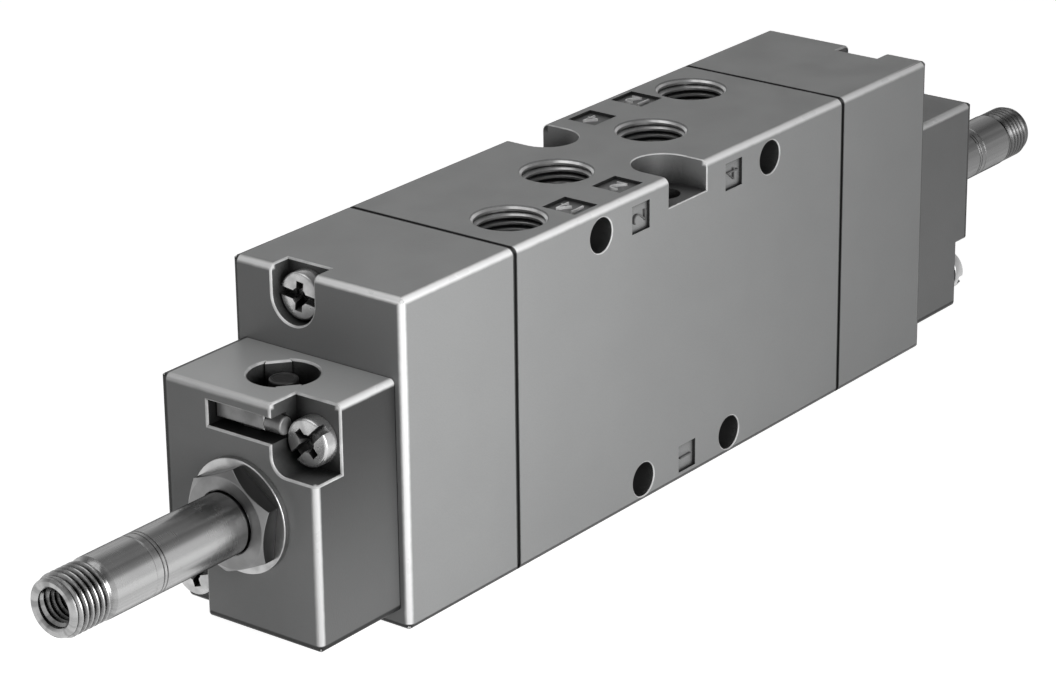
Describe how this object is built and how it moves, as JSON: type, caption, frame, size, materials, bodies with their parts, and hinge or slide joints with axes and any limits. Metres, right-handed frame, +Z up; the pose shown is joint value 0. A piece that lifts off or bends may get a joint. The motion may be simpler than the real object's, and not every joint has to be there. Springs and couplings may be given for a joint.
{
  "type": "pneumatic solenoid valve",
  "caption": "Pneumatic 5/2-way spool valve: grey block body with threaded ports, an end cap and pilot housing at each end, bare armature tubes for solenoid coils.",
  "frame": {"origin": "under the middle of the valve body, on its base face", "axes": "+X along the spool towards the rear end, +Y across the width, +Z up out of the port face"},
  "size_m": [0.2122, 0.027, 0.0436],
  "materials": {
    "body_casting": "satin blasted casting",
    "pilot_moulding": "satin moulding",
    "seal_rubber": "matt",
    "cage_polymer": "satin",
    "steel": "ground",
    "tube_steel": "turned",
    "screw_zinc": "bright zinc plated",
    "nut_zinc": "satin zinc plated",
    "brass": "turned",
    "plunger_black": "satin",
    "clip_steel": "satin"
  },
  "bodies": {
    "valve": {"valve_body": "body_casting", "spacer_cages": "cage_polymer", "spool_seals": "seal_rubber", "front_cap_gasket": "seal_rubber", "front_end_cap": "body_casting", "front_cap_screws": "screw_zinc", "front_pilot_housing": "pilot_moulding", "front_pilot_gasket": "seal_rubber", "front_pilot_screws": "screw_zinc", "front_pilot_nozzle": "brass", "front_tube_o_ring": "seal_rubber", "front_armature_tube": "tube_steel", "front_tube_washer": "screw_zinc", "front_gland_nut": "nut_zinc", "front_fixed_core": "tube_steel", "front_armature_spring": "steel", "front_override_spring": "steel", "front_override_clip": "clip_steel", "rear_cap_gasket": "seal_rubber", "rear_end_cap": "body_casting", "rear_cap_screws": "screw_zinc", "rear_pilot_housing": "pilot_moulding", "rear_pilot_gasket": "seal_rubber", "rear_pilot_screws": "screw_zinc", "rear_pilot_nozzle": "brass", "rear_tube_o_ring": "seal_rubber", "rear_armature_tube": "tube_steel", "rear_tube_washer": "screw_zinc", "rear_gland_nut": "nut_zinc", "rear_fixed_core": "tube_steel", "rear_armature_spring": "steel", "rear_override_spring": "steel", "rear_override_clip": "clip_steel"},
    "spool_set": {"spool": "steel", "front_piston": "cage_polymer", "rear_piston": "cage_polymer", "front_piston_seal": "seal_rubber", "rear_piston_seal": "seal_rubber"},
    "front_armature_set": {"front_armature": "steel", "front_armature_seals": "seal_rubber"},
    "front_override": {"front_override_plunger": "plunger_black", "front_override_seal": "seal_rubber"},
    "rear_armature_set": {"rear_armature": "steel", "rear_armature_seals": "seal_rubber"},
    "rear_override": {"rear_override_plunger": "plunger_black", "rear_override_seal": "seal_rubber"}
  },
  "joints": [
    {"name": "spool_slide", "type": "slide", "parent": "valve", "child": "spool_set", "axis": [1, 0, 0], "range_m": [0, 0.005]},
    {"name": "front_armature_slide", "type": "slide", "parent": "valve", "child": "front_armature_set", "axis": [-1, 0, 0], "range_m": [0, 0.0008], "stiffness_N_per_m": 400, "springref_m": -0.001, "deforming": ["front_armature_spring"]},
    {"name": "rear_armature_slide", "type": "slide", "parent": "valve", "child": "rear_armature_set", "axis": [1, 0, 0], "range_m": [0, 0.0008], "stiffness_N_per_m": 400, "springref_m": -0.001, "deforming": ["rear_armature_spring"]},
    {"name": "front_override_press", "type": "slide", "parent": "valve", "child": "front_override", "axis": [0, 0, 1], "range_m": [-0.001, 0], "stiffness_N_per_m": 800, "springref_m": 0.001, "deforming": ["front_override_spring"]},
    {"name": "rear_override_press", "type": "slide", "parent": "valve", "child": "rear_override", "axis": [0, 0, 1], "range_m": [-0.001, 0], "stiffness_N_per_m": 800, "springref_m": 0.001, "deforming": ["rear_override_spring"]}
  ]
}
